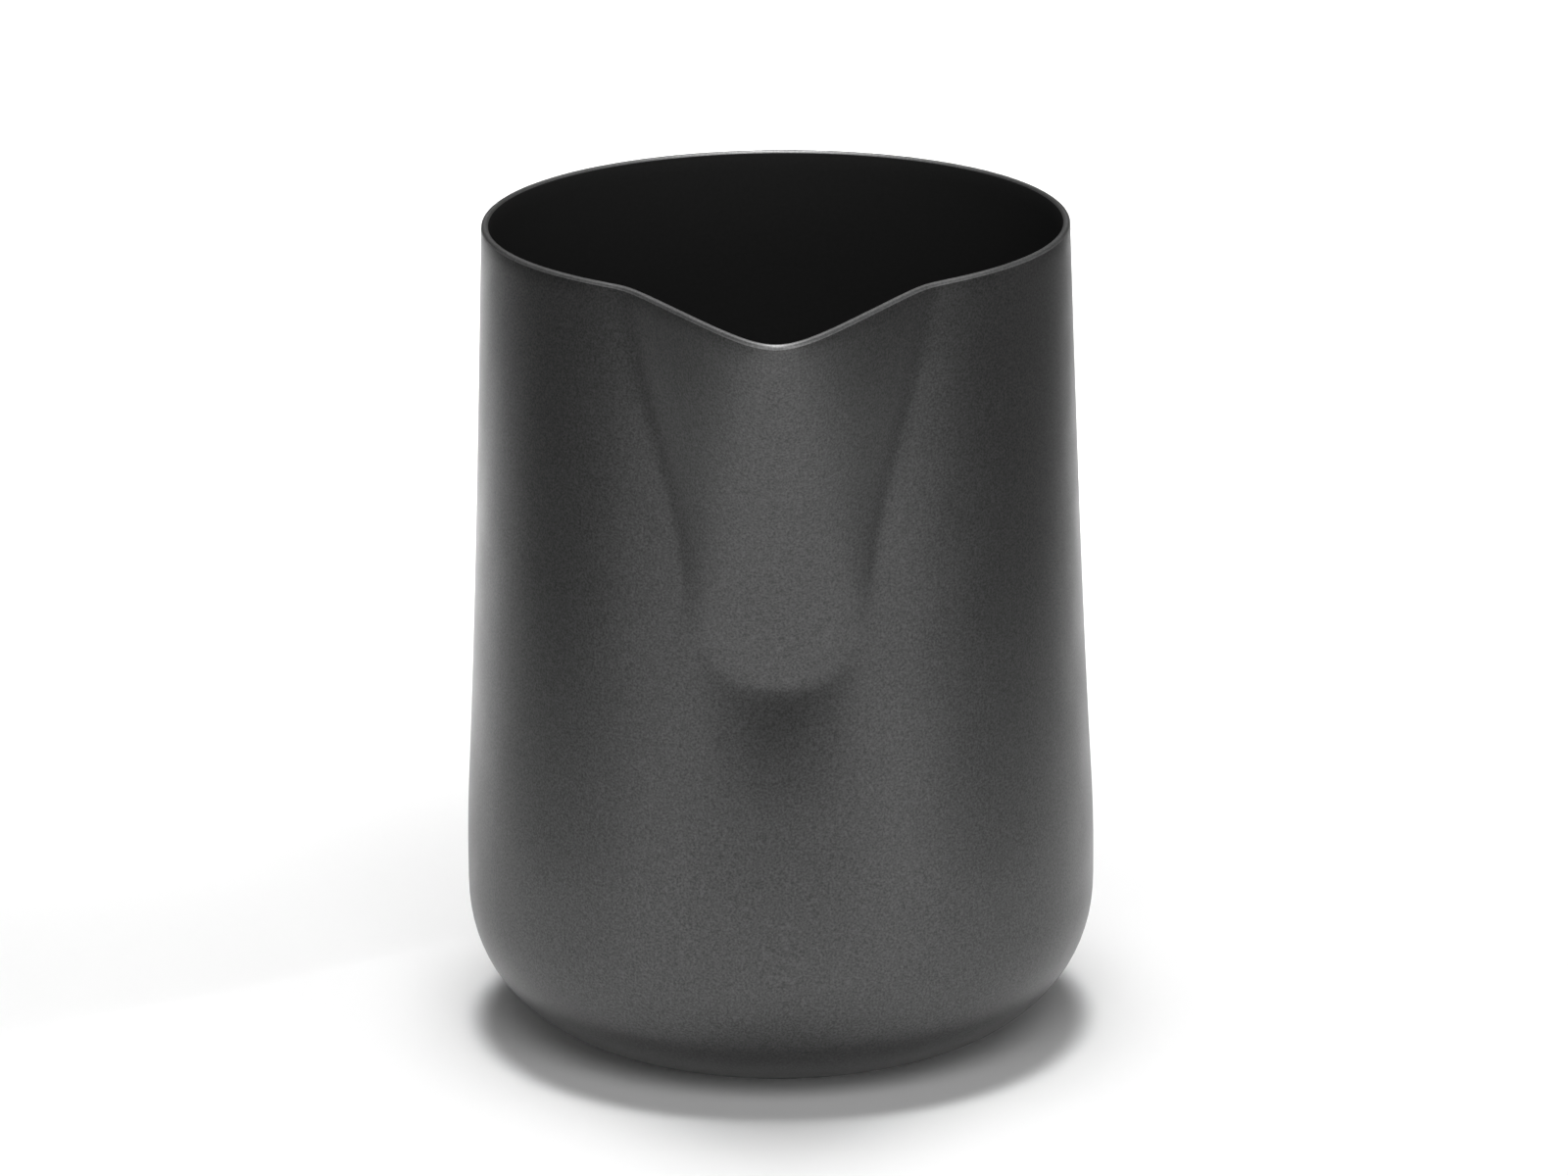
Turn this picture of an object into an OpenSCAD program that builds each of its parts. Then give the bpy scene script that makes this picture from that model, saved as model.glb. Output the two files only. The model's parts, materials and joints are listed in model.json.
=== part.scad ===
// Milk frothing pitcher: a drawn steel shell with a pressed pouring spout, and a strap handle
// welded to its back. Millimetres, +Z up. The origin is the centre of the flat base, the spout
// points along -Y and the handle stands out along +Y.

/* [Body] */
// Height from the flat base to the top of the rim
height = 116; // [95:1:145]
// Widest outside diameter, low on the body
belly_d = 88; // [72:1:110]
// Outside diameter at the rim, away from the spout
rim_d = 80.8; // [66:0.2:98]
// Angle at which the side leans out just below the rim
rim_lean = 1.9; // [1:0.1:3]
// Height at which the side is widest and the bottom corner starts
belly_z = 21.6; // [16:0.2:28]
// Diameter of the flat base
base_d = 40; // [30:1:50]
// Shape of the bottom corner: 2 is an elliptical arc and more is squarer
corner_fullness = 2.2; // [2:0.1:2.6]
// Thickness of the steel wall
wall = 1; // [0.8:0.1:1.4]

/* [Spout] */
// How far the lip stands forward of the round rim
spout_reach = 16; // [10:0.5:20]
// How far the lip dips below the rest of the rim
spout_dip = 2.8; // [0:0.5:5]
// Width of the spout at the rim, from crease to crease
spout_w = 40.6; // [32:0.2:48]
// Width of the flute at its foot
flute_w = 24; // [18:0.5:30]
// Length of the flute, from the rim down to its foot
flute_len = 54.4; // [44:0.2:66]
// How far the wall is drawn in at the flute's foot
foot_depth = 1.4; // [0.4:0.1:2]
// Height of the flute's round foot
foot_round = 11; // [7:0.5:14]
// Height over which the wall blends back into the body below the foot
foot_blend = 20; // [12:1:26]
// Softness of the fold round the foot
foot_edge = 0.8; // [0.4:0.1:2]
// Roundness of the flute's nose, seen from above
nose_round = 5.8; // [3:0.1:8]
// Softness of the creases beside the flute
crease_round = 1.3; // [0.6:0.1:2]

/* [Handle] */
// Distance from the rim down to the middle of the handle's upper limb
handle_drop = 18; // [14:1:26]
// Height of the middle of the handle's lower limb
handle_foot_z = 38; // [30:1:44]
// Clear space for fingers between the belly's widest radius and the grip
finger_gap = 29; // [24:1:36]
// Width of the handle strap
strap_w = 19; // [14:1:24]
// Thickness of the handle strap
strap_t = 3.4; // [2.6:0.2:4.4]
// Radius of the handle's upper bend, at the middle of the strap
top_bend_r = 15; // [8:1:20]
// Radius of the handle's lower bend, at the middle of the strap
foot_bend_r = 22; // [8:1:24]
// Width of the weld bead around each end of the handle
weld_w = 1.6; // [1:0.1:2.4]

/* [Hidden] */

coating = "#4b4b4d";
weld_colour = "#57575a";

rim_r = rim_d / 2;
belly_r = belly_d / 2;
base_r = base_d / 2;

// The side is a cubic curve. Its two inner control points sit at these shares of its height.
side_span = height - belly_z;
top_pull = 0.95 * side_span;
belly_pull = 0.21 * side_span;

// How finely the shell is divided: rows up the corner and the side, and columns across the
// front, which holds the spout, and around the plain back.
corner_rows = 7;
side_rows = 16;
rim_steps = 4;
front_half = 66;
front_columns = 40;
back_columns = 40;
column_angles = concat(
    [for (j = [0 : front_columns - 1]) mix(-front_half, front_half, j / front_columns)],
    [for (j = [0 : back_columns - 1]) mix(front_half, 360 - front_half, j / back_columns)]);

// Where the spout's shape starts and ends
flute_foot_z = height - flute_len;
flare_power = 1.15;
trough_power = 3;
dip_depth = 30;
// The share of the creases' full softness that is left at the foot, where they are sharpest
foot_crease = 0.15;
// How far past the creases the press still marks the wall, in half widths
press_margin = 0.1;

function smooth(t) = let(u = min(1, max(0, t))) u * u * (3 - 2 * u);
function mix(a, b, t) = a + (b - a) * t;
function soft_step(d, radius) = (d + sqrt(d * d + radius * radius)) / 2;
function bezier(a, b, c, d, t) =
    a * pow(1 - t, 3) + 3 * b * t * pow(1 - t, 2) + 3 * c * t * t * (1 - t) + d * pow(t, 3);

// Outer profile as [radius, height] points, from the edge of the flat base up to the rim. The
// straight part of the rim ends half a wall below the top, where the rounded edge takes over.
rim_z = height - wall / 2;
function corner_point(t) = let(a = 90 * t, p = 2 / corner_fullness) [
    base_r + (belly_r - base_r) * pow(sin(a), p),
    belly_z * (1 - pow(cos(a), p))];
function side_point(t) = [
    bezier(belly_r, belly_r, rim_r + tan(rim_lean) * top_pull, rim_r, t),
    bezier(belly_z, belly_z + belly_pull, rim_z - top_pull, rim_z, t)];
profile = concat(
    [for (i = [0 : corner_rows - 1]) corner_point(i / corner_rows)],
    [for (i = [0 : side_rows]) side_point(i / side_rows)]);
last_row = len(profile) - 1;

side_table = [for (i = [corner_rows : last_row]) [profile[i][1], profile[i][0]]];
function outer_r(z) = lookup(z, side_table);

// Seen from above, the flute is a wedge with a round nose at the rim and a broad trough at its
// foot. It leans forward as it rises, and soft creases join it to the round body. This gives how
// far it stands forward of the body at x and z, above its foot. There the wall is drawn in a little.
function flute_share(z) = min(1, max(0, (z - flute_foot_z) / flute_len));
function flute_half(z) = let(share = flute_share(z))
    mix(flute_w, spout_w, share * smooth(share)) / 2;
function wedge(x, half) =
    (sqrt(x * x + nose_round * nose_round) - nose_round)
    / (sqrt(half * half + nose_round * nose_round) - nose_round);
function section_drop(x, half, share) =
    mix(pow(abs(x) / half, trough_power), wedge(x, half), share);
function flute_push(x, z) =
    let(
        r = outer_r(z),
        share = flute_share(z),
        tip = r + mix(-foot_depth, spout_reach, pow(share, flare_power)),
        half = flute_half(z),
        depth = tip - sqrt(r * r - half * half),
        gap = tip - depth * section_drop(x, half, share) - sqrt(max(0, r * r - x * x)),
        crease = soft_step(gap, crease_round * mix(foot_crease, 1, share)),
        at_crease = smooth(2 * abs(x) / half - 1),
        beyond = (abs(x) - half) / half)
    mix(gap, crease, at_crease) * (1 - smooth(2 * (beyond - press_margin)));

// Below its round foot the flute blends back into the body.
function foot_z(x) = let(u = min(1, abs(x) / (flute_w / 2)))
    flute_foot_z + foot_round * (1 - sqrt(1 - u * u));
function spout_push(x, z) =
    let(below = soft_step(foot_z(x) - z, foot_edge))
    flute_push(x, z + below) * pow(max(0, 1 - below / foot_blend), 2);
function lip_dip(x, z) =
    spout_dip * flute_push(x, rim_z) / spout_reach * smooth(1 - (rim_z - z) / dip_depth);

// A point on the outer surface, at an angle from the spout and a row of the profile.
function outer_point(angle, row) =
    let(r = profile[row][0], z = profile[row][1], x = r * sin(angle), y = r * cos(angle))
    z <= belly_z || y <= 0 ? [x, -y, z] : [x, -y - spout_push(x, z), z - lip_dip(x, z)];
function unit(v) = v / norm(v);
function row_rise(angle, row) =
    outer_point(angle, min(last_row, row + 1)) - outer_point(angle, max(0, row - 1));
side_step = 0.1;
function outward(angle, row) =
    row == 0 ? [0, 0, -1]
    : unit(cross(outer_point(angle + side_step, row) - outer_point(angle - side_step, row),
                 row_rise(angle, row)));

// One open section of the shell at an angle: from the edge of the base up the outside, over
// the rounded rim, and down the inside.
function section(angle) = concat(
    [for (row = [0 : last_row]) outer_point(angle, row)],
    let(
        n = outward(angle, last_row),
        up = unit(row_rise(angle, last_row)),
        middle = outer_point(angle, last_row) - n * wall / 2)
    [for (i = [1 : rim_steps - 1]) let(a = 180 * i / rim_steps)
        middle + (n * cos(a) + up * sin(a)) * wall / 2],
    [for (row = [last_row : -1 : 0]) outer_point(angle, row) - outward(angle, row) * wall]);

// A closed shell through rings of points: each ring is one section, and the two ends are flat.
module shell(rings) {
    columns = len(rings);
    count = len(rings[0]);
    points = concat(
        [for (ring = rings) each ring],
        [[0, 0, rings[0][0][2]], [0, 0, rings[0][count - 1][2]]]);
    first_end = columns * count;
    sides = [for (j = [0 : columns - 1], i = [0 : count - 2])
        let(a = j * count + i, b = (j + 1) % columns * count + i)
        each [[a, a + 1, b + 1], [a, b + 1, b]]];
    ends = [for (j = [0 : columns - 1])
        let(a = j * count, b = (j + 1) % columns * count)
        each [[first_end, a, b], [first_end + 1, b + count - 1, a + count - 1]]];
    polyhedron(points, concat(sides, ends));
}

module body() {
    color(coating) shell([for (angle = column_angles) section(angle)]);
}

// The space inside the body's outer surface at the back, used to seat the handle on the wall.
// It has the body's own columns there, so the seat has the same faces as the wall.
seat_columns = 10;
module back_plug() {
    first = front_columns + (back_columns - seat_columns) / 2;
    angles = [for (j = [0 : seat_columns]) column_angles[first + j]];
    rows = [for (row = [corner_rows : last_row]) row];
    count = len(rows);
    points = concat(
        [for (angle = angles, row = rows) outer_point(angle, row)],
        [[0, 0, profile[corner_rows][1]], [0, 0, profile[last_row][1]]]);
    low = len(points) - 2;
    high = low + 1;
    wall_faces = [for (j = [0 : seat_columns - 1], i = [0 : count - 2])
        let(a = j * count + i, b = a + count)
        each [[a, a + 1, b + 1], [a, b + 1, b]]];
    end_faces = [for (j = [0 : seat_columns - 1])
        each [[low, j * count, (j + 1) * count],
              [high, (j + 2) * count - 1, (j + 1) * count - 1]]];
    last = seat_columns * count;
    side_faces = [
        [low, high, for (i = [count - 1 : -1 : 0]) i],
        [high, low, for (i = [0 : count - 1]) last + i]];
    polyhedron(points, concat(wall_faces, end_faces, side_faces));
}

/* The handle's middle line, in the plane X = 0. The upper limb leaves the wall level, the grip
   runs straight down, and the lower limb returns level to the wall. */
handle_top_z = height - handle_drop;
grip_y = belly_r + finger_gap + strap_t / 2;
// The limbs start well inside the wall, before they are cut to it.
function limb_start(z) = outer_r(z) - strap_w / 2;
// The strap's edges are almost full rounds, with a narrow flat left between them.
edge_flat = 0.4;
edge_r = (strap_t - edge_flat) / 2;
thin = 0.1;

module strap_section(grow = 0) {
    offset_w = strap_w / 2 - edge_r;
    hull() for (sx = [-1, 1], sz = [-1, 1])
        translate([sx * offset_w, sz * edge_flat / 2]) circle(r = edge_r + grow, $fn = 32);
}

module limb(z, bend_r) {
    translate([0, grip_y - bend_r, z]) rotate([90, 0, 0])
        linear_extrude(grip_y - bend_r - limb_start(z)) strap_section();
}

// A quarter turn of the strap about a line along X at a height, from an angle off straight up
module bend(z, bend_r, from) {
    translate([0, grip_y - bend_r, z]) rotate([0, -90, 0]) rotate([0, 0, from])
        rotate_extrude(angle = 90, $fn = 96)
            translate([bend_r, 0]) rotate([0, 0, 90]) strap_section();
}

module handle() {
    grip_bottom = handle_foot_z + foot_bend_r;
    grip_top = handle_top_z - top_bend_r;
    color(coating) difference() {
        union() {
            limb(handle_top_z, top_bend_r);
            bend(grip_top, top_bend_r, 0);
            translate([0, grip_y, grip_bottom]) linear_extrude(grip_top - grip_bottom)
                strap_section();
            bend(grip_bottom, foot_bend_r, 90);
            limb(handle_foot_z, foot_bend_r);
        }
        back_plug();
    }
}

// A fillet of weld metal around one end of the handle, where it meets the wall
module weld(z, bend_r) {
    wall_y = outer_r(z);
    color(weld_colour) difference() {
        hull() {
            translate([0, wall_y + weld_w, z]) rotate([90, 0, 0])
                linear_extrude(thin) strap_section(thin);
            translate([0, wall_y, z]) rotate([90, 0, 0])
                linear_extrude(wall_y - limb_start(z)) strap_section(weld_w);
        }
        limb(z, bend_r);
        back_plug();
    }
}

module upper_weld() { weld(handle_top_z, top_bend_r); }
module lower_weld() { weld(handle_foot_z, foot_bend_r); }

body();
handle();
upper_weld();
lower_weld();
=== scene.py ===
# %% [markdown]
# # A matt graphite milk frothing pitcher
# This lesson dresses a finished CAD model of a milk frothing pitcher: a drawn steel cup with a
# pressed pouring spout and a strap handle welded to its back. The CAD gives the sizes and the
# places. Here each piece is built again as a smooth mesh in the same place, and is given the
# finish of the real thing. Everything is in metres, with +Z up, the spout towards -Y and the
# handle towards +Y.

# %% Load the frame
import json
import math
import bpy
import numpy as np
from mathutils import Matrix, Vector

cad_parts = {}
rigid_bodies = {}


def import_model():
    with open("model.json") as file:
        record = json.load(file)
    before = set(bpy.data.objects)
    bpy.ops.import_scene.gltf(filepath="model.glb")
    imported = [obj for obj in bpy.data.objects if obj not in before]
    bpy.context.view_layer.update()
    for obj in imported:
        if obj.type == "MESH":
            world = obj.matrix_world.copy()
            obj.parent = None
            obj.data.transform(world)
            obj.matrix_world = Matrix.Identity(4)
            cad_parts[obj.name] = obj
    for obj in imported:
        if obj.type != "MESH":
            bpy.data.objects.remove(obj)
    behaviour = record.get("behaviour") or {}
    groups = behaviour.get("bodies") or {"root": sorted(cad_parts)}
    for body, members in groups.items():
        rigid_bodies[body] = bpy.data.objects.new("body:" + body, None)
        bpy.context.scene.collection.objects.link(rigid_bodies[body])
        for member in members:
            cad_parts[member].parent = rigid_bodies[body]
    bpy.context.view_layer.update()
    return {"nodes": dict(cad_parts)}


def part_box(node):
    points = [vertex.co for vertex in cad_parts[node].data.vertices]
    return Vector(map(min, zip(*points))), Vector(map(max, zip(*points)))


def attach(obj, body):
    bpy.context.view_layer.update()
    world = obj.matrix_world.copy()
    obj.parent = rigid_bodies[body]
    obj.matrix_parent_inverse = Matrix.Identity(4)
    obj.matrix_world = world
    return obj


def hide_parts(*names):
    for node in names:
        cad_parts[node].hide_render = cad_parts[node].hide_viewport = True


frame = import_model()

MM = 0.001
print("nodes:", sorted(frame["nodes"]))

# %% [markdown]
# ## The sizes
# The height, the belly and the rim are read from the CAD body, so they can't drift from it. The
# sizes of the pressing can't be read off a box, so they are named here as they are in the CAD.
# Only the lip's reach differs: it is a hair short of the CAD's 16 mm, because the smooth lip is
# rounder than the CAD's facets and would stand proud of them.

# %% Sizes of the body
body_low, body_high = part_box("body")
body_points = np.array([v.co for v in frame["nodes"]["body"].data.vertices])
RIM_BAND = 0.05 * MM
WALL = 1.0 * MM
HEIGHT = body_high.z
BELLY_R = body_high.x
RIM_Z = HEIGHT - WALL / 2
at_rim = np.abs(body_points[:, 2] - RIM_Z) < RIM_BAND
RIM_R = body_points[at_rim, 1].max()

RIM_LEAN = math.radians(1.9)
BELLY_Z = 21.6 * MM
BASE_R = 20 * MM
CORNER_FULLNESS = 2.2
print(f"height {HEIGHT:.4f}, belly radius {BELLY_R:.4f}, rim radius {RIM_R:.4f}")

# %% Sizes of the spout
LIP_REACH = 15.95 * MM
LIP_DIP = 2.8 * MM
DIP_DEPTH = 30 * MM
SPOUT_HALF = 20.3 * MM
FLUTE_HALF = 12 * MM
FLUTE_LENGTH = 54.4 * MM
FLUTE_FOOT_Z = HEIGHT - FLUTE_LENGTH
FOOT_DEPTH = 1.4 * MM
FOOT_ROUND = 11 * MM
FOOT_BLEND = 20 * MM
FOOT_EDGE = 0.8 * MM
NOSE_ROUND = 5.8 * MM
CREASE_ROUND = 1.3 * MM
FLARE_POWER = 1.15
TROUGH_POWER = 3
FOOT_CREASE = 0.15
PRESS_MARGIN = 0.1
print(f"the flute's foot is {FLUTE_FOOT_Z:.4f} above the base")
print(f"the CAD lip stands {-body_low.y - RIM_R:.4f} forward of the rim")

# %% [markdown]
# ## The camera
# The pitcher is seen from the front, over its spout, with a long lens from a metre away, so that
# its upright sides stay nearly parallel. The camera looks down by about 17 degrees, which shows
# the inside through the open top. A long lens has to be aimed with care: the camera is built
# from its own three axes, so the small roll of a hand-set tripod can be given as one number.

# %% Camera
CAMERA_DISTANCE = 1.0
CAMERA_ELEVATION = math.radians(17.23)
CAMERA_ROLL = math.radians(-0.46)
CAMERA_AIM = Vector((0.74 * MM, 0, 63 * MM))
LENS_MM = 164.8
SENSOR_MM = 36

camera_data = bpy.data.cameras.new("camera")
camera_data.lens = LENS_MM
camera_data.sensor_width = SENSOR_MM
camera = bpy.data.objects.new("camera", camera_data)
bpy.context.scene.collection.objects.link(camera)
camera_out = Vector((0, -math.cos(CAMERA_ELEVATION), math.sin(CAMERA_ELEVATION)))
camera_right = Vector((1, 0, 0))
camera_up = camera_out.cross(camera_right)
axes = Matrix((camera_right, camera_up, camera_out)).transposed().to_4x4()
camera.matrix_world = (
    Matrix.Translation(CAMERA_AIM + camera_out * CAMERA_DISTANCE)
    @ axes
    @ Matrix.Rotation(CAMERA_ROLL, 4, "Z")
)
bpy.context.scene.camera = camera
print("camera at", [round(c, 3) for c in camera.matrix_world.translation])

# %% [markdown]
# ## A floor and soft lights
# Dark satin metal shows its surroundings more than its own colour, so the lights are as much a
# part of the look as the coating. The floor is pale, and the body mirrors it. Five level boxes
# hang low over the floor. Four of them have a narrow spread, so that each whitens one patch of
# it, and the fifth spreads wider behind the pitcher. The lit floor there shows as a bright strip
# down each side of the body. Four larger boxes stand in front, one on each side and two in the
# middle, and open up the front. A weak one on the right fills that side. Between the strips and
# the front light lie two dark upright bands, and those make the body look round.

# %% Floor
FLOOR_SIZE = 6.0
floor_mesh = bpy.data.meshes.new("floor")
floor_corners = [(-1, -1), (1, -1), (1, 1), (-1, 1)]
floor_points = [(x * FLOOR_SIZE / 2, y * FLOOR_SIZE / 2, 0) for x, y in floor_corners]
floor_mesh.from_pydata(floor_points, [], [(0, 1, 2, 3)])
floor = bpy.data.objects.new("floor", floor_mesh)
bpy.context.scene.collection.objects.link(floor)
print("floor", FLOOR_SIZE, "m across")


# %% Lights
def soft_box(name, place, aim, width, depth, watts, spread=180):
    light = bpy.data.lights.new(name, "AREA")
    light.shape = "RECTANGLE"
    light.size = width
    light.size_y = depth
    light.energy = watts
    light.spread = math.radians(spread)
    box = bpy.data.objects.new(name, light)
    box.location = place
    direction = Vector(aim) - Vector(place)
    box.rotation_euler = direction.to_track_quat("-Z", "Y").to_euler()
    box.visible_camera = False
    bpy.context.scene.collection.objects.link(box)
    print(f"{name}: {width} x {depth} m, {watts} W")
    return box


def floor_box(name, left, right, near, far, watts, spread):
    """A soft box that hangs level and lights one rectangle of the floor."""
    middle = ((left + right) / 2, (near + far) / 2)
    return soft_box(
        name, (*middle, FLOOR_BOX_HEIGHT), (*middle, 0), right - left, far - near, watts, spread
    )


FLOOR_BOX_HEIGHT = 0.4
floor_box("floor_box_middle", -0.22, 0.22, -0.3, 0.3, 0.48, 24)
floor_box("floor_box_narrow", -0.16, 0.16, -0.3, 0.3, 0.18, 24)
floor_box("floor_box_left", -0.35, -0.1, 0.1, 0.5, 0.24, 24)
floor_box("floor_box_behind", -0.125, 0.125, 0.25, 1.25, 2.3, 70)
floor_box("floor_box_far", -0.2, 0.2, 0.6, 1.1, 14, 24)

PITCHER = (0, 0, 0.06)
soft_box("side_box_right", (1.3, 0.3, 0.35), PITCHER, 0.5, 0.7, 0.5)
soft_box("front_box_right", (1, -1, 0.25), PITCHER, 0.7, 0.5, 3.5)
soft_box("front_box_left", (-1, -1, 0.25), PITCHER, 0.7, 0.5, 2.4)
soft_box("front_box_middle", (0.1, -1.6, 0.75), PITCHER, 1.0, 0.5, 2.2)
soft_box("front_box_high", (0.1, -1.2, 1.2), PITCHER, 1.0, 0.7, 8.0)

world = bpy.data.worlds.new("studio")
bpy.context.scene.world = world
world.use_nodes = True
WORLD_STRENGTH = 0.06
world_light = world.node_tree.nodes["Background"]
world_light.inputs["Color"].default_value = (1, 1, 1, 1)
world_light.inputs["Strength"].default_value = WORLD_STRENGTH
bpy.context.scene.view_settings.view_transform = "Standard"


# %% [markdown]
# ## Colours and nodes
# Colours are given as the hex values that a maker would quote, and one function turns them to
# the linear values that Blender calculates with. One small function adds any shader node.

# %% Helpers for materials
def linear(hex_colour):
    values = [int(hex_colour[i : i + 2], 16) / 255 for i in (1, 3, 5)]
    return [v / 12.92 if v <= 0.04045 else ((v + 0.055) / 1.055) ** 2.4 for v in values] + [1.0]


def add_node(material, kind, settings=None, values=None, links=None):
    node = material.node_tree.nodes.new(kind)
    for name, value in (settings or {}).items():
        setattr(node, name, value)
    for name, value in (values or {}).items():
        node.inputs[name].default_value = value
    for name, source in (links or {}).items():
        material.node_tree.links.new(source, node.inputs[name])
    return node


def new_material(name):
    material = bpy.data.materials.new(name)
    material.use_nodes = True
    material.node_tree.nodes.clear()
    return material


print("mid grey is", round(linear("#808080")[0], 3), "in linear light")

# %% [markdown]
# ## Graphite flake enamel
# The outside is steel with a baked enamel: fine metal flake in a dark grey binder, sprayed and
# left matt. The flake makes it shine like rough metal, so it is a metallic surface with a dark
# colour and a wide highlight, and the spray leaves a fine pebble that makes it sparkle a little.
# A real flake is about 0.05 mm across and the pebble is about 0.15 mm. Both are too fine to
# show, so they are drawn at 0.3 mm, where they give the same soft salt-and-pepper grain.

# %% Material: graphite flake enamel
GRAIN_MM = 0.3
MOTTLE_MM = 9.0
MOTTLE_GLOSS = 0.02
PEBBLE_DEPTH = 0.02 * MM


def flake_enamel(name, dark, light, roughness):
    material = new_material(name)
    place = add_node(material, "ShaderNodeTexCoord")
    grain = add_node(
        material, "ShaderNodeTexNoise",
        values={"Scale": 1 / (GRAIN_MM * MM), "Detail": 1.5, "Roughness": 0.6},
        links={"Vector": place.outputs["Object"]},
    )
    mottle = add_node(
        material, "ShaderNodeTexNoise",
        values={"Scale": 1 / (MOTTLE_MM * MM), "Detail": 2.0},
        links={"Vector": place.outputs["Object"]},
    )
    speckle = add_node(
        material, "ShaderNodeMapRange",
        values={"From Min": 0.3, "From Max": 0.7},
        links={"Value": grain.outputs["Fac"]},
    )
    colour = add_node(
        material, "ShaderNodeMix",
        settings={"data_type": "RGBA"},
        links={0: speckle.outputs["Result"]},
    )
    colour.inputs["A"].default_value = linear(dark)
    colour.inputs["B"].default_value = linear(light)
    gloss = add_node(
        material, "ShaderNodeMapRange",
        values={"From Min": 0.35, "From Max": 0.65,
                "To Min": roughness - MOTTLE_GLOSS, "To Max": roughness + MOTTLE_GLOSS},
        links={"Value": mottle.outputs["Fac"]},
    )
    bump = add_node(
        material, "ShaderNodeBump",
        values={"Strength": 0.25, "Distance": PEBBLE_DEPTH},
        links={"Height": grain.outputs["Fac"]},
    )
    shader = add_node(
        material, "ShaderNodeBsdfPrincipled",
        values={"Metallic": 1.0},
        links={"Roughness": gloss.outputs["Result"], "Normal": bump.outputs["Normal"]},
    )
    material.node_tree.links.new(colour.outputs["Result"], shader.inputs["Base Color"])
    out = add_node(material, "ShaderNodeOutputMaterial")
    material.node_tree.links.new(shader.outputs["BSDF"], out.inputs["Surface"])
    print(f"{name}: roughness {roughness}, from {dark} to {light}")
    return material


outer_enamel = flake_enamel("graphite_flake_enamel", "#464646", "#606060", 0.34)

# %% [markdown]
# The rounded edge of the rim gets a lighter and rougher copy of the enamel. This is a painted
# highlight: it stands in for the light from above that the rim's curve catches.

# %% Material: painted highlight on the rim
painted_rim_highlight = flake_enamel("painted_rim_highlight_enamel", "#808080", "#989898", 0.5)

# %% [markdown]
# ## Matt black lining
# The inside gets a plain near-black coat with no flake, far darker than the outside enamel. It is
# a rough dielectric, close to a chalky paint, with a fine pebble of its own.

# %% Material: matt black lining
LINING_GRAIN_MM = 0.5
lining = new_material("matt_black_lining")
lining_place = add_node(lining, "ShaderNodeTexCoord")
lining_grain = add_node(
    lining, "ShaderNodeTexNoise",
    values={"Scale": 1 / (LINING_GRAIN_MM * MM), "Detail": 2.0},
    links={"Vector": lining_place.outputs["Object"]},
)
lining_colour = add_node(
    lining, "ShaderNodeMix",
    settings={"data_type": "RGBA"},
    links={0: lining_grain.outputs["Fac"]},
)
lining_colour.inputs["A"].default_value = linear("#1e1e1e")
lining_colour.inputs["B"].default_value = linear("#252525")
lining_bump = add_node(
    lining, "ShaderNodeBump",
    values={"Strength": 0.2, "Distance": PEBBLE_DEPTH},
    links={"Height": lining_grain.outputs["Fac"]},
)
lining_shader = add_node(
    lining, "ShaderNodeBsdfPrincipled",
    values={"Roughness": 0.85, "Specular IOR Level": 0.25},
    links={"Normal": lining_bump.outputs["Normal"]},
)
lining.node_tree.links.new(lining_colour.outputs["Result"], lining_shader.inputs["Base Color"])
lining_out = add_node(
    lining, "ShaderNodeOutputMaterial", links={"Surface": lining_shader.outputs["BSDF"]}
)
print("lining made")

# %% Material: floor
floor_paint = new_material("pale_floor")
floor_shader = add_node(
    floor_paint, "ShaderNodeBsdfPrincipled",
    values={"Base Color": linear("#f4f4f4"), "Roughness": 0.9},
)
add_node(floor_paint, "ShaderNodeOutputMaterial", links={"Surface": floor_shader.outputs["BSDF"]})
floor.data.materials.append(floor_paint)
print("floor painted")


# %% [markdown]
# ## The shape of the wall
# The wall is one sheet, so it is one formula: a round profile, plus how far the spout's punch
# has pushed it forward. The side is a cubic curve and the bottom corner is a full elliptical
# arc. NumPy works the whole surface out at once, as grids of points.

# %% Round profile
def smooth(t):
    u = np.clip(t, 0, 1)
    return u * u * (3 - 2 * u)


def mix(a, b, t):
    return a + (b - a) * t


def bezier(a, b, c, d, t):
    return a * (1 - t) ** 3 + 3 * b * t * (1 - t) ** 2 + 3 * c * t * t * (1 - t) + d * t**3


SIDE_SPAN = HEIGHT - BELLY_Z
TOP_PULL = 0.95 * SIDE_SPAN
BELLY_PULL = 0.21 * SIDE_SPAN
FINE_STEPS = 800


def side_curve(t):
    return (
        bezier(BELLY_R, BELLY_R, RIM_R + math.tan(RIM_LEAN) * TOP_PULL, RIM_R, t),
        bezier(BELLY_Z, BELLY_Z + BELLY_PULL, RIM_Z - TOP_PULL, RIM_Z, t),
    )


def corner_curve(t):
    power = 2 / CORNER_FULLNESS
    return (
        BASE_R + (BELLY_R - BASE_R) * np.sin(t * math.pi / 2) ** power,
        BELLY_Z * (1 - np.cos(t * math.pi / 2) ** power),
    )


fine_r, fine_z = side_curve(np.linspace(0, 1, FINE_STEPS))


def outer_r(z):
    return np.interp(z, fine_z, fine_r)


print(f"radius half way up: {float(outer_r(HEIGHT / 2)):.4f}")


# %% [markdown]
# Seen from above, the flute is a wedge with a round nose at the rim and a broad trough at its
# foot. It leans forward as it rises, and its creases spread apart towards the rim. At its round
# foot, where the punch stopped, the wall is drawn in a little, and below that it blends back out.

# %% Spout pressing
def soft_step(d, radius):
    return (d + np.sqrt(d * d + radius * radius)) / 2


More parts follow.
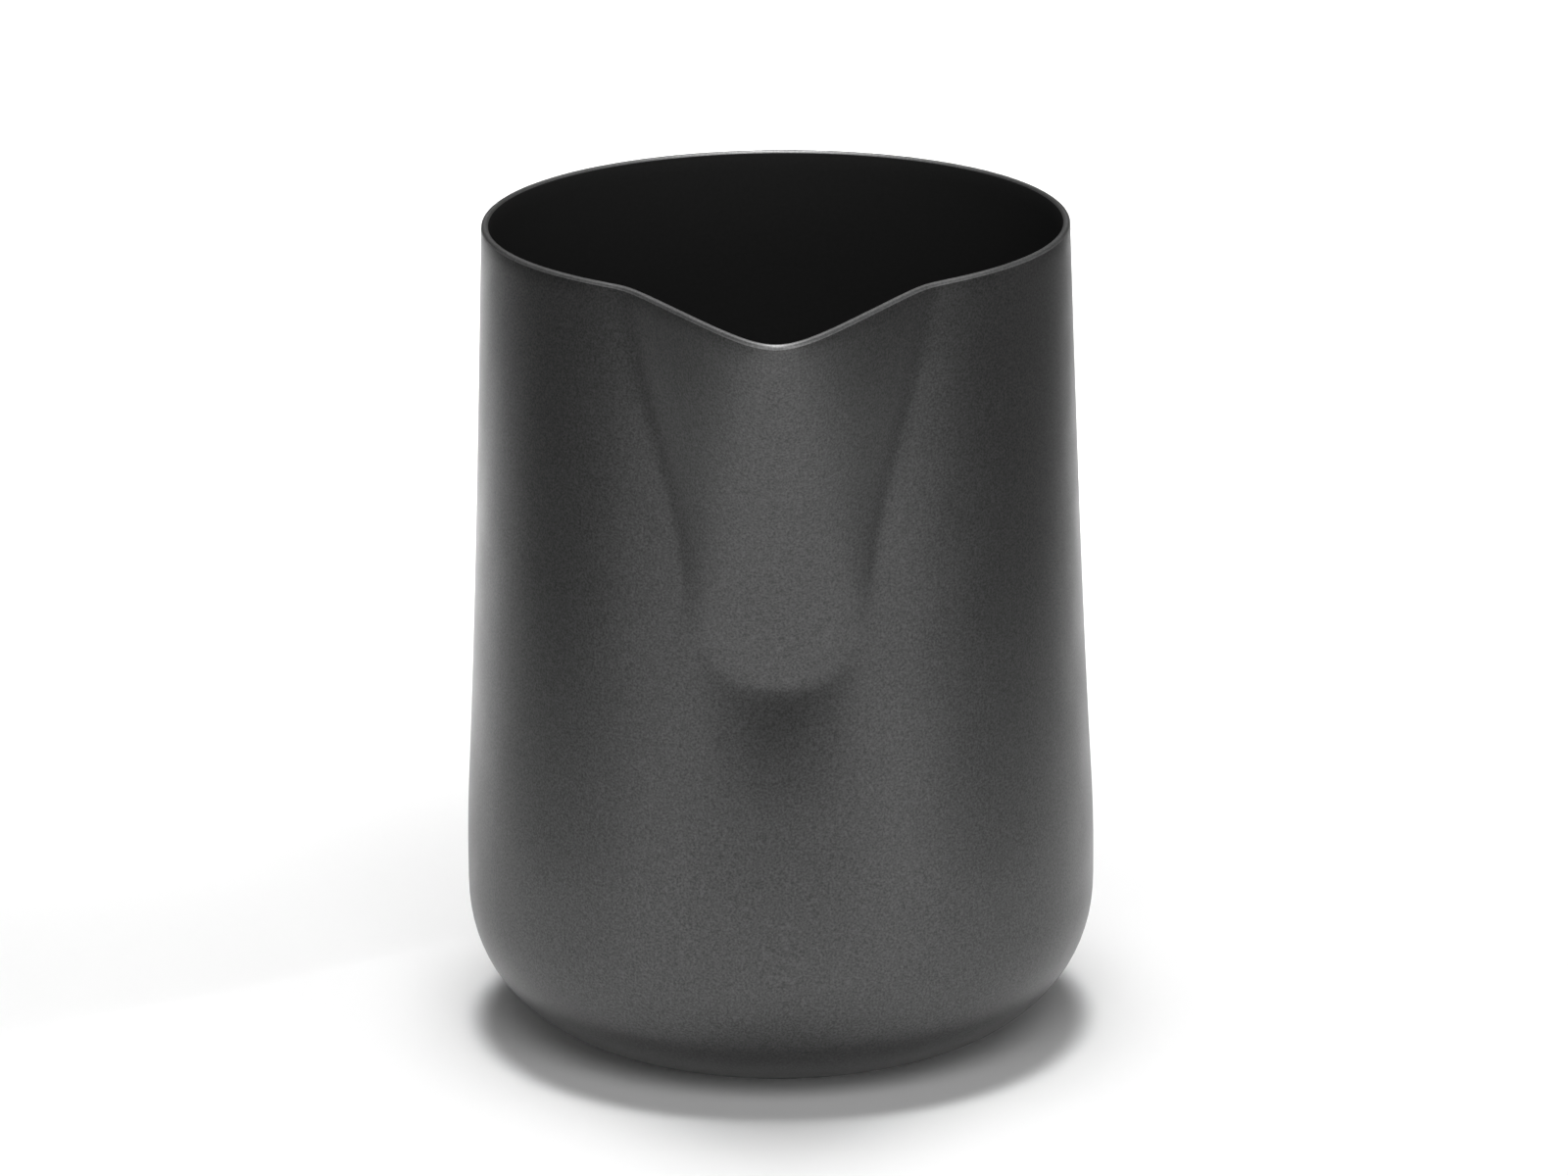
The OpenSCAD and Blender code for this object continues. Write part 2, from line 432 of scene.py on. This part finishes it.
def section_drop(x, half_width, share):
    """How far the section has dropped back at x, from 0 at the nose to 1 at the creases."""
    u = np.abs(x) / half_width
    n = NOSE_ROUND / half_width
    wedge = (np.sqrt(u * u + n * n) - n) / (np.sqrt(1 + n * n) - n)
    return mix(u**TROUGH_POWER, wedge, share)


def flute_push(x, z):
    share = np.clip((z - FLUTE_FOOT_Z) / FLUTE_LENGTH, 0, 1)
    half_width = mix(FLUTE_HALF, SPOUT_HALF, share * smooth(share))
    r = outer_r(z)
    tip = r + mix(-FOOT_DEPTH, LIP_REACH, share**FLARE_POWER)
    depth = tip - np.sqrt(r * r - half_width**2)
    gap = tip - depth * section_drop(x, half_width, share) - np.sqrt(np.maximum(0, r * r - x * x))
    crease = soft_step(gap, CREASE_ROUND * mix(FOOT_CREASE, 1, share))
    at_crease = smooth(2 * np.abs(x) / half_width - 1)
    beyond = (np.abs(x) - half_width) / half_width
    return mix(gap, crease, at_crease) * (1 - smooth(2 * (beyond - PRESS_MARGIN)))


def foot_z(x):
    u = np.minimum(1, np.abs(x) / FLUTE_HALF)
    return FLUTE_FOOT_Z + FOOT_ROUND * (1 - np.sqrt(1 - u * u))


def spout_push(x, z):
    below = soft_step(foot_z(x) - z, FOOT_EDGE)
    return flute_push(x, z + below) * np.maximum(0, 1 - below / FOOT_BLEND) ** 2


def lip_dip(x, z):
    share = flute_push(x, RIM_Z + 0 * x) / LIP_REACH
    return LIP_DIP * share * smooth(1 - (RIM_Z - z) / DIP_DEPTH)


foot_push = float(spout_push(np.array(0.0), np.array(FLUTE_FOOT_Z)))
print(f"the wall is drawn in {-foot_push / MM:.2f} mm at the foot")

# %% [markdown]
# ## The body
# The grid runs round the body in columns and up the wall in rows. The columns stand closer
# together at the front, where the creases are. The inside is the same grid moved in by the
# wall's thickness along the surface's own direction, and a half round joins the two at the rim.

# %% Grid of the outer wall
FRONT_HALF = math.radians(66)
FRONT_COLUMNS = 240
BACK_COLUMNS = 140
CORNER_ROWS = 22
SIDE_ROWS = 120
RIM_STEPS = 8

angles = np.concatenate([
    np.linspace(-FRONT_HALF, FRONT_HALF, FRONT_COLUMNS, endpoint=False),
    np.linspace(FRONT_HALF, 2 * math.pi - FRONT_HALF, BACK_COLUMNS, endpoint=False),
])
corner = corner_curve(np.linspace(0, 1, CORNER_ROWS, endpoint=False))
side = side_curve(np.linspace(0, 1, SIDE_ROWS))
profile_r = np.concatenate([corner[0], side[0]])
profile_z = np.concatenate([corner[1], side[1]])

angle_grid, r_grid = np.meshgrid(angles, profile_r)
z_grid = np.repeat(profile_z[:, None], len(angles), axis=1)
x_grid = r_grid * np.sin(angle_grid)
front_grid = r_grid * np.cos(angle_grid)
pushed = (front_grid > 0) & (z_grid > BELLY_Z)
push_grid = np.where(pushed, spout_push(x_grid, z_grid), 0)
dip_grid = np.where(pushed, lip_dip(x_grid, z_grid), 0)
outer = np.stack([x_grid, -front_grid - push_grid, z_grid - dip_grid], axis=2)
print("outer grid:", outer.shape)

# %% Inner wall and rim
sideways = np.roll(outer, -1, axis=1) - np.roll(outer, 1, axis=1)
upward = np.gradient(outer, axis=0)
normal = np.cross(sideways, upward)
normal[0] = (0, 0, -1)
normal /= np.linalg.norm(normal, axis=2, keepdims=True)
inner = outer - normal * WALL
up = upward[-1] / np.linalg.norm(upward[-1], axis=1, keepdims=True)
middle = outer[-1] - normal[-1] * WALL / 2
turns = np.linspace(0, math.pi, RIM_STEPS + 1)[1:-1]
rim = np.array([middle + (normal[-1] * math.cos(a) + up * math.sin(a)) * WALL / 2 for a in turns])
rings = np.concatenate([outer, rim, inner[::-1]])
print(f"the rim's highest point: {rings[:, :, 2].max():.5f}")


# %% Body mesh
def grid_faces(rows, columns):
    return [
        (row * columns + j, row * columns + (j + 1) % columns,
         (row + 1) * columns + (j + 1) % columns, (row + 1) * columns + j)
        for row in range(rows - 1)
        for j in range(columns)
    ]


def mesh_object(name, points, faces, materials):
    mesh = bpy.data.meshes.new(name)
    mesh.from_pydata([tuple(p) for p in points], [], faces)
    for material in materials:
        mesh.materials.append(material)
    mesh.polygons.foreach_set("use_smooth", [True] * len(mesh.polygons))
    mesh.update()
    piece = bpy.data.objects.new(name, mesh)
    bpy.context.scene.collection.objects.link(piece)
    return piece


columns = len(angles)
ring_count = len(rings)
shell_points = np.concatenate([rings.reshape(-1, 3), [(0, 0, 0), (0, 0, WALL)]])
underside = len(shell_points) - 2
inside_floor = len(shell_points) - 1
last = (ring_count - 1) * columns
shell_faces = grid_faces(ring_count, columns)
first_underside = len(shell_faces)
shell_faces += [(underside, (j + 1) % columns, j) for j in range(columns)]
first_floor = len(shell_faces)
shell_faces += [(inside_floor, last + j, last + (j + 1) % columns) for j in range(columns)]
body = mesh_object("body_shell", shell_points, shell_faces, [outer_enamel, lining, painted_rim_highlight])

LINING_SLOT = 1
RIM_HIGHLIGHT_SLOT = 2
# The faces of the rim's half round take the lighter enamel, a painted highlight on the rim.
first_rim = (len(outer) - 1) * columns
first_inner = (len(outer) + len(rim) - 1) * columns
for face in range(first_rim, first_inner):
    body.data.polygons[face].material_index = RIM_HIGHLIGHT_SLOT
for face in [*range(first_inner, first_underside), *range(first_floor, len(shell_faces))]:
    body.data.polygons[face].material_index = LINING_SLOT
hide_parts("body")
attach(body, "root")
print("body:", len(body.data.polygons), "faces")

# %% [markdown]
# ## The handle
# The handle is one flat strap, bent twice and welded on by its two ends. It is swept here: a
# rounded outline is carried along the middle line, always square to it. At each end the outline
# is laid onto the wall, a little below its surface, so that no gap can show.

# %% Sizes of the handle
handle_low, handle_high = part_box("handle")
STRAP_WIDTH = handle_high.x - handle_low.x
STRAP_THICK = 3.4 * MM
EDGE_R = 1.5 * MM
TOP_BEND_R = 15 * MM
FOOT_BEND_R = 22 * MM
BEDDING = 0.3 * MM
EDGE_STEPS = 8
FLAT_STEPS = 8
BEND_STEPS = 40
# A limb has a ring on the wall, one close to it and one half way along.
LIMB_SHARES = (0, 0.08, 0.5)

TOP_Z = handle_high.z - STRAP_THICK / 2
FOOT_Z = handle_low.z + STRAP_THICK / 2
GRIP_Y = handle_high.y - STRAP_THICK / 2
print(f"strap {STRAP_WIDTH:.4f} wide, limbs at {TOP_Z:.4f} and {FOOT_Z:.4f}")


# %% Strap outline
def strap_outline(steps):
    """Points of the strap's section, as across and outward distances from its middle line."""
    half_w = STRAP_WIDTH / 2 - EDGE_R
    half_t = STRAP_THICK / 2 - EDGE_R
    flat = np.linspace(-half_w, half_w, FLAT_STEPS + 1)[1:-1]
    right = np.linspace(-math.pi / 2, math.pi / 2, 2 * steps + 1)
    lift = np.sign(right) * half_t
    right_edge = np.stack([half_w + EDGE_R * np.cos(right), lift + EDGE_R * np.sin(right)], axis=1)
    top = np.stack([flat[::-1], np.full(len(flat), STRAP_THICK / 2)], axis=1)
    return np.concatenate([right_edge, top, -right_edge, -top])


outline = strap_outline(EDGE_STEPS)
print("strap outline:", len(outline), "points")


# %% Middle line
def wall_y(x, z):
    return np.sqrt(outer_r(z) ** 2 - x * x)


def bend_line(centre_y, centre_z, bend_r, start, end):
    turn = np.radians(np.linspace(start, end, BEND_STEPS))
    return [(centre_y + bend_r * math.sin(a), centre_z + bend_r * math.cos(a), a) for a in turn]


middle_line = bend_line(GRIP_Y - TOP_BEND_R, TOP_Z - TOP_BEND_R, TOP_BEND_R, 0, 90)
middle_line += bend_line(GRIP_Y - FOOT_BEND_R, FOOT_Z + FOOT_BEND_R, FOOT_BEND_R, 90, 180)
print("middle line:", len(middle_line), "points")

# %% Handle mesh
across, outward = outline[:, 0], outline[:, 1]


def limb_ring(z, bend_r, share):
    """A ring between the wall, where the share is 0, and the start of the bend, where it is 1."""
    end_y = wall_y(across, z) - BEDDING
    return np.stack([across, mix(end_y, GRIP_Y - bend_r, share), z], axis=1)


strap_rings = [limb_ring(TOP_Z + outward, TOP_BEND_R, share) for share in LIMB_SHARES]
for y, z, a in middle_line:
    ring = np.stack([across, y + outward * math.sin(a), z + outward * math.cos(a)], axis=1)
    strap_rings.append(ring)
strap_rings += [limb_ring(FOOT_Z - outward, FOOT_BEND_R, share) for share in LIMB_SHARES[::-1]]

ring_size = len(outline)
strap_faces = grid_faces(len(strap_rings), ring_size)
last_ring = (len(strap_rings) - 1) * ring_size
strap_faces.append(tuple(range(ring_size - 1, -1, -1)))
strap_faces.append(tuple(range(last_ring, last_ring + ring_size)))
handle = mesh_object("strap_handle", np.concatenate(strap_rings), strap_faces, [outer_enamel])
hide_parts("handle")
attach(handle, "root")
print("handle:", len(strap_faces), "faces")

# %% [markdown]
# ## The welds
# Each end of the strap is held by a bead of weld metal that fills the corner between the strap
# and the wall. The bead was laid in small overlapping puddles, which leave ripples across it,
# and the enamel went over it. The puddles are drawn 1.5 mm apart.

# %% Weld beads
WELD_WIDTH = 1.6 * MM
RIPPLE_PITCH = 1.5 * MM
RIPPLE_DEPTH = 0.05
FILLET_HOLLOW = 0.85
FILLET_POWER = 1.4
FILLET_STEPS = 9
BEAD_EDGE_STEPS = 24
weld_enamel = flake_enamel("coated_weld_enamel", "#4a4a4a", "#626262", 0.38)


def weld_bead(name, z_middle):
    edge = strap_outline(BEAD_EDGE_STEPS)
    run = np.roll(edge, -1, axis=0) - np.roll(edge, 1, axis=0)
    away = np.stack([run[:, 1], -run[:, 0]], axis=1)
    away /= np.linalg.norm(away, axis=1, keepdims=True)
    lengths = np.linalg.norm(np.roll(edge, -1, axis=0) - edge, axis=1)
    travel = np.concatenate([[0], np.cumsum(lengths)[:-1]])
    puddles = round(lengths.sum() / RIPPLE_PITCH)
    wave = np.abs(np.sin(math.pi * puddles * travel / lengths.sum()))
    width = WELD_WIDTH * (1 - 2 * RIPPLE_DEPTH + RIPPLE_DEPTH * wave)
    none = np.zeros(len(edge))
    bead_rings = [(none, width)]
    for turn in np.linspace(0, math.pi / 2, FILLET_STEPS)[1:-1]:
        out = width * (1 - FILLET_HOLLOW * math.cos(turn) ** FILLET_POWER)
        rise = width * (1 - FILLET_HOLLOW * math.sin(turn) ** FILLET_POWER)
        bead_rings.append((out, rise))
    bead_rings += [(width, none), (none - BEDDING, none - BEDDING)]
    bead_points = []
    for out, rise in bead_rings:
        x = edge[:, 0] + away[:, 0] * out
        z = z_middle + edge[:, 1] + away[:, 1] * out
        bead_points.append(np.stack([x, wall_y(x, z) + rise, z], axis=1))
    bead_points.append(bead_points[0])
    bead = mesh_object(name + "_bead", np.concatenate(bead_points),
                       grid_faces(len(bead_points), len(edge)), [weld_enamel])
    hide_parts(name)
    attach(bead, "root")
    print(f"{name}: {puddles} puddles round {lengths.sum():.4f} m")
    return bead


weld_bead("upper_weld", TOP_Z)
weld_bead("lower_weld", FOOT_Z)
